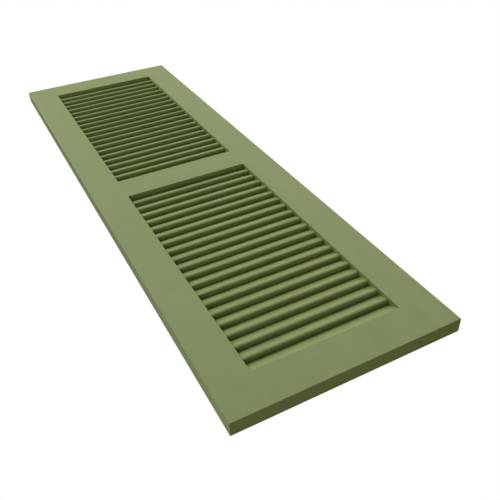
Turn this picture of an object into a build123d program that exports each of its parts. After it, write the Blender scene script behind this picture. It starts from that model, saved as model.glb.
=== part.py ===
from build123d import *
import math
import os

# A louvered exterior shutter, in millimetres: two stiles, three rails and two bays of
# fixed louvers. X runs across, Y from the face (minus) to the back, Z up. The origin
# is the middle of the flat back, behind the middle rail.

# The frame
shutter_height = 1219.2
shutter_width = 381.0
thickness = 25.4
stile_width = 63.5
end_rail_width = 63.5
mid_rail_width = 63.5
arris_radius = 0.8

# The rail tenons and their mortises in the stiles
tenon_length = 38.0
tenon_thickness = 9.0
tenon_set_in = 10.0
tenon_side_gap = 0.15
tenon_end_gap = 2.0

# The louvers
louvers_in_bay = 19
louver_tilt = 25.2
louver_recess = 3.7
nose_radius = 6.0
nose_drop = 3.7
drip_radius = 1.4
lap_width = 5.0
tail_thickness = 6.5
tail_radius = 2.0
tail_recess = 2.7

# The stub tenons on the louvers and their mortises in the stiles
stub_length = 6.0
stub_width = 16.0
stub_thickness = 4.5
stub_set_back = 3.0
stub_gap = 0.3

# Worked out from the sizes above
half_height = shutter_height / 2
bay_half_width = shutter_width / 2 - stile_width
bay_height = half_height - end_rail_width - mid_rail_width / 2
face_y = -thickness
louver_pitch = bay_height / (louvers_in_bay + 1)

# A louver laps over the upper face of the one below, so it is as thick as their spacing.
# Its nose is an arc from the upper face down to a level underside, nose_drop below the
# arc's centre, where drip_radius eases the edge. The underside runs in to the lap.
# Lengths up the blade and levels across it are taken from the arc's centre.
tilt = math.radians(louver_tilt)
nose_centre_y = face_y + louver_recess + nose_radius
nose_front = math.sqrt(nose_radius**2 - nose_drop**2)
lap_level = nose_radius - louver_pitch * math.sin(tilt)
lap_start = -(nose_drop + lap_level * math.sin(tilt)) / math.cos(tilt)
lap_end = lap_start + lap_width
tail_level = nose_radius - tail_thickness
tail_reach = tail_level * math.cos(tilt) - tail_recess - nose_centre_y
blade_length = tail_reach / math.sin(tilt)
drip_edge = (
    -nose_front * math.sin(tilt) - nose_drop * math.cos(tilt),
    nose_front * math.cos(tilt) - nose_drop * math.sin(tilt),
)

# A sill slopes from the face to the first louver's lap, and carries it. The outline of
# its section starts at the face, with heights from the sill's lower edge.
lap_y = nose_centre_y + lap_start * math.sin(tilt) - lap_level * math.cos(tilt)
sill_top_y = lap_y + lap_width * math.sin(tilt)
sill_rise = louver_pitch + lap_width * math.cos(tilt)
sill = [(face_y, 0), (lap_y, louver_pitch), (sill_top_y, sill_rise), (0, sill_rise)]
square_edge = [(face_y, 0), (0, 0)]

os.makedirs("parts", exist_ok=True)


def save(piece, name):
    piece.part.label = name
    export_step(piece.part, f"parts/{name}.step")


def blade_plane(x, nose_z):
    """Plane at a nose centre: its X runs up the blade, its Y out of the upper face."""
    return Plane(
        origin=(x, nose_centre_y, nose_z),
        x_dir=(0, math.sin(tilt), math.cos(tilt)),
        z_dir=(1, 0, 0),
    )


def nose_heights(sill_z):
    """Height of each nose centre in the bay above a sill."""
    first = sill_z + louver_pitch + nose_drop
    return [first + i * louver_pitch for i in range(louvers_in_bay)]


def stub_outline(gap):
    """Section of a louver's stub tenon, or with a gap, of its mortise."""
    with Locations((stub_width / 2, nose_radius - stub_set_back - stub_thickness / 2)):
        Rectangle(stub_width + 2 * gap, stub_thickness + 2 * gap)


# Every rail and bay, from its own lower edge
bottom_rail_z = -half_height
lower_sill_z = bottom_rail_z + end_rail_width
mid_rail_z = lower_sill_z + bay_height
upper_sill_z = mid_rail_z + mid_rail_width
top_rail_z = upper_sill_z + bay_height
rails = [
    ("bottom_rail", bottom_rail_z, end_rail_width, sill),
    ("mid_rail", mid_rail_z, mid_rail_width, sill),
    ("top_rail", top_rail_z, end_rail_width, square_edge),
]
bays = [("lower", lower_sill_z), ("upper", upper_sill_z)]


# Stiles, with their eased outer arrises and two kinds of mortise
for name, side in [("left_stile", -1), ("right_stile", 1)]:
    with BuildPart() as stile:
        with BuildSketch(Plane.XY.offset(-half_height)):
            with Locations((side * (bay_half_width + stile_width / 2), -thickness / 2)):
                Rectangle(stile_width, thickness)
        extrude(amount=shutter_height)
        inner_face = stile.faces().sort_by(Axis.X)[0 if side > 0 else -1]
        fillet(stile.edges() - inner_face.edges(), radius=arris_radius)
        for _, rail_z, rail_width, _ in rails:
            with BuildSketch(Plane.YZ.offset(side * bay_half_width)):
                with Locations((-thickness / 2, rail_z + rail_width / 2)):
                    Rectangle(
                        tenon_thickness + 2 * tenon_side_gap,
                        rail_width - 2 * tenon_set_in + 2 * tenon_side_gap,
                    )
        extrude(amount=side * (tenon_length + tenon_end_gap), mode=Mode.SUBTRACT)
        for _, sill_z in bays:
            for nose_z in nose_heights(sill_z):
                with BuildSketch(blade_plane(side * bay_half_width, nose_z)):
                    stub_outline(stub_gap)
        extrude(amount=side * (stub_length + stub_gap), mode=Mode.SUBTRACT)
    save(stile, name)


# Rails, each with a tenon at both ends and a sloped sill where a bay stands on it
for name, rail_z, rail_width, upper_edge in rails:
    with BuildPart() as rail:
        with BuildSketch(Plane.YZ.offset(-bay_half_width)):
            with BuildLine():
                Polyline(
                    (0, rail_z),
                    (face_y, rail_z),
                    *[(y, rail_z + rail_width + rise) for y, rise in upper_edge],
                    close=True,
                )
            make_face()
        extrude(amount=2 * bay_half_width)
        if name != "mid_rail":
            outer_end = -1 if name == "top_rail" else 0
            fillet(rail.edges().filter_by(Axis.X).group_by(Axis.Z)[outer_end], arris_radius)
        for side in (-1, 1):
            with BuildSketch(Plane.YZ.offset(side * bay_half_width)):
                with Locations((-thickness / 2, rail_z + rail_width / 2)):
                    Rectangle(tenon_thickness, rail_width - 2 * tenon_set_in)
            extrude(amount=side * tenon_length)
    save(rail, name)


# Louvers. The last one of a bay is ripped along the rail above it.
for bay, sill_z in bays:
    for number, nose_z in enumerate(nose_heights(sill_z), start=1):
        with BuildPart() as louver:
            with BuildSketch(blade_plane(-bay_half_width, nose_z)) as section:
                with BuildLine():
                    nose = TangentArc((0, nose_radius), drip_edge, tangent=(-1, 0))
                    Polyline(
                        nose @ 1,
                        (lap_start, lap_level),
                        (lap_end, lap_level),
                        (blade_length, tail_level),
                        (blade_length, nose_radius),
                        nose @ 0,
                    )
                make_face()
                fillet(section.vertices().sort_by(Axis.X)[0], radius=drip_radius)
                fillet(section.vertices().group_by(Axis.X)[-1], radius=tail_radius)
            extrude(amount=2 * bay_half_width)
            if number == louvers_in_bay:
                split(bisect_by=Plane.XY.offset(sill_z + bay_height), keep=Keep.BOTTOM)
            for side in (-1, 1):
                with BuildSketch(blade_plane(side * bay_half_width, nose_z)):
                    stub_outline(0)
                extrude(amount=side * stub_length)
        save(louver, f"{bay}_louver_{number:02d}")
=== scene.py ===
import math

import bpy
from mathutils import Euler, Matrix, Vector


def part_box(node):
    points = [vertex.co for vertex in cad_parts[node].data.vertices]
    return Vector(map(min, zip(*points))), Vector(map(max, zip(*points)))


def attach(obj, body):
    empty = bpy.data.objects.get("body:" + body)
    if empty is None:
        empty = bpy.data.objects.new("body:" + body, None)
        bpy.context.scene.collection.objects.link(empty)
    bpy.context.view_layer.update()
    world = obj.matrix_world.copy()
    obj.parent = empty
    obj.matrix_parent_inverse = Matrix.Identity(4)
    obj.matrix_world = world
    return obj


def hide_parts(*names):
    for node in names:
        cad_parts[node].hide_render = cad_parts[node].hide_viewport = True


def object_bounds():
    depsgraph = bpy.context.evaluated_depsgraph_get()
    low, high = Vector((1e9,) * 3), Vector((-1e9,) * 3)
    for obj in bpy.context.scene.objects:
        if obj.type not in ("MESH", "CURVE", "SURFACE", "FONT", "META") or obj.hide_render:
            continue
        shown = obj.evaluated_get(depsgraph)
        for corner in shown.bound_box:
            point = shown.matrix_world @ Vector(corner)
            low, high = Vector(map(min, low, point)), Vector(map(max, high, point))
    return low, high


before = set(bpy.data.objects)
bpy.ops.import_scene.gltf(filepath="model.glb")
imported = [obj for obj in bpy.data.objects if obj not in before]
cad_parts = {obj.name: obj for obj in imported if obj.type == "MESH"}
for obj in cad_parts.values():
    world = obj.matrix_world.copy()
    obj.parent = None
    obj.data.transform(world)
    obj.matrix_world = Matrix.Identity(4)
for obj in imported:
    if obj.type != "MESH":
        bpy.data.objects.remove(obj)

mmPerMetre = 1000
cadLow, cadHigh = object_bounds()
middle = (cadLow + cadHigh) / 2
print("frame loaded:", len(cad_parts), "nodes")


def hexColour(code):
    # sRGB hex to the linear colour that a socket takes
    linear = []
    for i in (0, 2, 4):
        c = int(code[i:i + 2], 16) / 255
        linear.append(c / 12.92 if c <= 0.04045 else ((c + 0.055) / 1.055) ** 2.4)
    return (*linear, 1.0)


def addNode(tree, kind, sockets=None, **settings):
    # one node, its settings, and what each of its inputs is linked or set to
    node = tree.nodes.new(kind)
    for name, value in settings.items():
        setattr(node, name, value)
    for name, value in (sockets or {}).items():
        if isinstance(value, bpy.types.NodeSocket):
            tree.links.new(value, node.inputs[name])
        else:
            node.inputs[name].default_value = value
    return node


def perMetre(mm):
    # noise scale whose features are this many millimetres apart
    return mmPerMetre / mm


def newMaterial(name):
    material = bpy.data.materials.new(name)
    material.use_nodes = True
    material.node_tree.nodes.clear()
    return material, material.node_tree


# Camera: in front of the shutter, below its lower left corner, looking up along its face
photoCamera = {
    "location": (-0.36767, -0.65160, -1.04239),
    "turnDegrees": (143.6310, 27.8029, 1.9919),
    "lensMm": 43.390,
    "sensorMm": 36.0,
    "clipStart": 0.02,
}


def makeCamera(s):
    camera = bpy.data.objects.new("photoCamera", bpy.data.cameras.new("photoCamera"))
    camera.location = s["location"]
    camera.rotation_euler = Euler([math.radians(a) for a in s["turnDegrees"]], "XYZ")
    camera.data.lens = s["lensMm"]
    camera.data.sensor_width = s["sensorMm"]
    camera.data.clip_start = s["clipStart"]
    bpy.context.collection.objects.link(camera)
    bpy.context.scene.camera = camera


makeCamera(photoCamera)
print("camera placed")


# Exterior acrylic paint, brushed along each wooden member: an even mid green with a soft
# sheen that whitens towards the far end. The photo shows it smooth and clean, with no
# grain or wear, so its marks only read close up. Real brush marks are taken as 0.7 mm
# apart. These are drawn at 1.6 mm, so that they show in a close view.
paint = {
    "colourPale": "7C8D3F",
    "colourDeep": "748537",
    "driftMm": 35.0,
    "driftDetail": 2.0,
    "strokeSpacingMm": 1.6,
    "strokeLengthMm": 90.0,
    "strokeDetail": 2.0,
    "orangePeelMm": 4.0,
    "orangePeelDetail": 1.0,
    "orangePeelShare": 0.35,
    "markDepthMm": 0.03,
    "roughnessOnTop": 0.61,
    "roughnessInMark": 0.69,
    "noiseLow": 0.3,  # nearly all of the noise lies between these two
    "noiseHigh": 0.7,
    "ior": 1.57,
    "specularLevel": 1.0,
}


def makePaint(name, s, alongAxis):
    material, tree = newMaterial(name)
    place = addNode(tree, "ShaderNodeTexCoord").outputs["Object"]

    # the coat's colour drifts by a level or two over a few centimetres
    drift = addNode(tree, "ShaderNodeTexNoise", {
        "Vector": place, "Scale": perMetre(s["driftMm"]), "Detail": s["driftDetail"],
    })
    colour = addNode(tree, "ShaderNodeMix", {
        "Factor": drift.outputs["Fac"],
        "A": hexColour(s["colourDeep"]),
        "B": hexColour(s["colourPale"]),
    }, data_type="RGBA")

    # brush marks: noise drawn out along the member, over a fine orange peel
    across, along = perMetre(s["strokeSpacingMm"]), perMetre(s["strokeLengthMm"])
    stretch = [along if axis == alongAxis else across for axis in "XYZ"]
    drawnOut = addNode(tree, "ShaderNodeVectorMath", {
        0: place, 1: stretch,
    }, operation="MULTIPLY")
    strokes = addNode(tree, "ShaderNodeTexNoise", {
        "Vector": drawnOut.outputs["Vector"], "Scale": 1.0, "Detail": s["strokeDetail"],
    })
    orangePeel = addNode(tree, "ShaderNodeTexNoise", {
        "Vector": place,
        "Scale": perMetre(s["orangePeelMm"]),
        "Detail": s["orangePeelDetail"],
    })
    height = addNode(tree, "ShaderNodeMix", {
        "Factor": s["orangePeelShare"],
        "A": strokes.outputs["Fac"],
        "B": orangePeel.outputs["Fac"],
    })
    bump = addNode(tree, "ShaderNodeBump", {
        "Height": height.outputs["Result"],
        "Distance": s["markDepthMm"] / mmPerMetre,
        "Strength": 1.0,
    })
    # the bottom of a mark is a little duller than its top
    roughness = addNode(tree, "ShaderNodeMapRange", {
        "Value": strokes.outputs["Fac"],
        "From Min": s["noiseLow"],
        "From Max": s["noiseHigh"],
        "To Min": s["roughnessInMark"],
        "To Max": s["roughnessOnTop"],
    })
    shader = addNode(tree, "ShaderNodeBsdfPrincipled", {
        "Base Color": colour.outputs["Result"],
        "Roughness": roughness.outputs["Result"],
        "IOR": s["ior"],
        "Specular IOR Level": s["specularLevel"],
        "Normal": bump.outputs["Normal"],
    })
    addNode(tree, "ShaderNodeOutputMaterial", {"Surface": shader.outputs["BSDF"]})
    return material


stilePaint = makePaint("acrylic_paint_brushed_along_stiles", paint, "Z")
railAndLouverPaint = makePaint("acrylic_paint_brushed_along_rails_and_louvers", paint, "X")
for name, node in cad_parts.items():
    node.data.materials.clear()
    node.data.materials.append(stilePaint if "stile" in name else railAndLouverPaint)
print("paint applied")


# Sills. In the photo each one is a single plane with the lap above it, as on a louver, so
# it starts a little below the rail's face and its corners at the stiles end in dark tips.
sill = {
    "rails": {
        "bottom_rail": "bottom_rail_with_pared_sill",
        "mid_rail": "mid_rail_with_pared_sill",
    },
    "wedgeOverhang": 0.002,  # metres, past the rail's face and ends
    "tolerance": 0.00001,  # metres, within which corners count as level
}


def pareSill(railName, pieceName, s):
    # the sill's edges across the rail, from the corners of the CAD mesh
    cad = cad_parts[railName].data
    low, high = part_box(railName)
    corners = [v.co for v in cad.vertices]
    foot = max(c.z for c in corners if c.y < low.y + s["tolerance"])
    above = [c for c in corners if c.z > foot + s["tolerance"]]
    lap = min(above, key=lambda c: c.z)
    top = min((c for c in above if c.z > high.z - s["tolerance"]), key=lambda c: c.y)
    footY = lap.y - (top.y - lap.y) / (top.z - lap.z) * (lap.z - foot)

    # a wedge that takes off what stands in front of the lap's plane
    front = low.y - s["wedgeOverhang"]
    profile = [(front, foot), (footY, foot), (lap.y, lap.z), (front, lap.z)]
    ends = (low.x - s["wedgeOverhang"], high.x + s["wedgeOverhang"])
    wedgeMesh = bpy.data.meshes.new("sillWedge")
    wedgeMesh.from_pydata(
        [(x, y, z) for x in ends for y, z in profile], [],
        [(3, 2, 1, 0), (4, 5, 6, 7), (0, 1, 5, 4), (1, 2, 6, 5), (2, 3, 7, 6), (3, 0, 4, 7)],
    )
    wedge = bpy.data.objects.new("sillWedge", wedgeMesh)
    piece = bpy.data.objects.new(pieceName, cad.copy())
    for thing in (wedge, piece):
        bpy.context.collection.objects.link(thing)
    cut = piece.modifiers.new("cut", "BOOLEAN")
    cut.operation = "DIFFERENCE"
    cut.object = wedge
    bpy.context.view_layer.update()
    evaluated = piece.evaluated_get(bpy.context.evaluated_depsgraph_get())
    pared = bpy.data.meshes.new_from_object(evaluated)
    piece.modifiers.clear()
    piece.data = pared
    bpy.data.objects.remove(wedge)
    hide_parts(railName)
    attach(piece, "root")


for railName, pieceName in sill["rails"].items():
    pareSill(railName, pieceName, sill)
print("sills pared")


# Studio: white behind, wide soft lamps all round, and a plain pale floor. The two low
# lamps stand in for light off the floor, and the back one only reaches the back.
studio = {
    "backdropColour": "FFFFFF",
    "ambient": 0.238,
    "lamps": {
        "keyLight": {"direction": (-0.381, -0.429, 0.819), "watts": 123.0},
        "frontLight": {"direction": (-0.310, -0.852, 0.423), "watts": 76.0},
        "rightLight": {"direction": (0.641, -0.641, 0.423), "watts": 71.0},
        "highRightLight": {"direction": (0.539, -0.196, 0.819), "watts": 54.0},
        "leftLight": {"direction": (-0.863, 0.498, 0.087), "watts": 63.0},
        "lowLight": {"direction": (-0.433, -0.250, -0.866), "watts": 34.0},
        "lowLeftLight": {"direction": (-0.720, 0.262, -0.643), "watts": 15.0},
        "backLight": {"direction": (0.453, 0.785, 0.423), "watts": 90.0},
    },
    "lampDistance": 5.0,  # metres, as are the lamps' size and the floor's drop and radius
    "lampSize": 3.5,
    "floorDrop": 1.2,
    "floorRadius": 12.0,
    "floorSides": 96,
    "floorGlowShare": 0.8,
    "floorColour": "F2F1EE",
}


def addSoftLight(name, s, direction, watts):
    light = bpy.data.lights.new(name, "AREA")
    light.shape = "DISK"
    light.size = s["lampSize"]
    light.energy = watts
    lamp = bpy.data.objects.new(name, light)
    away = Vector(direction).normalized()
    lamp.location = middle + away * s["lampDistance"]
    lamp.rotation_euler = away.to_track_quat("Z", "Y").to_euler()
    bpy.context.collection.objects.link(lamp)


def makeWorld(s):
    world = bpy.data.worlds.new("whiteStudio")
    world.use_nodes = True
    tree = world.node_tree
    tree.nodes.clear()
    seen = addNode(tree, "ShaderNodeLightPath").outputs["Is Camera Ray"]
    colour = hexColour(s["backdropColour"])
    white = addNode(tree, "ShaderNodeBackground", {"Color": colour, "Strength": 1.0})
    dim = addNode(tree, "ShaderNodeBackground", {"Color": colour, "Strength": s["ambient"]})
    both = addNode(tree, "ShaderNodeMixShader", {
        0: seen, 1: dim.outputs["Background"], 2: white.outputs["Background"],
    })
    addNode(tree, "ShaderNodeOutputWorld", {"Surface": both.outputs["Shader"]})
    bpy.context.scene.world = world
    # the sheen comes from the lamps alone
    world.cycles_visibility.glossy = False


def makeFloor(s):
    height = cadLow.z - s["floorDrop"]
    turns = [2 * math.pi * i / s["floorSides"] for i in range(s["floorSides"])]
    radius = s["floorRadius"]
    rim = [(radius * math.cos(t), radius * math.sin(t), height) for t in turns]
    mesh = bpy.data.meshes.new("floor")
    mesh.from_pydata(rim, [], [range(s["floorSides"])])
    floor = bpy.data.objects.new("floor", mesh)
    bpy.context.collection.objects.link(floor)
    material, tree = newMaterial("matt_pale_studio_floor")
    colour = hexColour(s["floorColour"])
    lit = addNode(tree, "ShaderNodeBsdfDiffuse", {"Color": colour})
    # a glow of its own keeps the far floor as pale as the near
    glow = addNode(tree, "ShaderNodeEmission", {"Color": colour})
    both = addNode(tree, "ShaderNodeMixShader", {
        0: s["floorGlowShare"], 1: lit.outputs["BSDF"], 2: glow.outputs["Emission"],
    })
    addNode(tree, "ShaderNodeOutputMaterial", {"Surface": both.outputs["Shader"]})
    mesh.materials.append(material)
    # the floor neither lights nor shades the shutter
    floor.visible_diffuse = False
    floor.visible_glossy = False
    floor.visible_shadow = False


makeWorld(studio)
makeFloor(studio)
for name, lamp in studio["lamps"].items():
    addSoftLight(name, studio, lamp["direction"], lamp["watts"])
bpy.context.scene.view_settings.view_transform = "Standard"
print("studio lit")
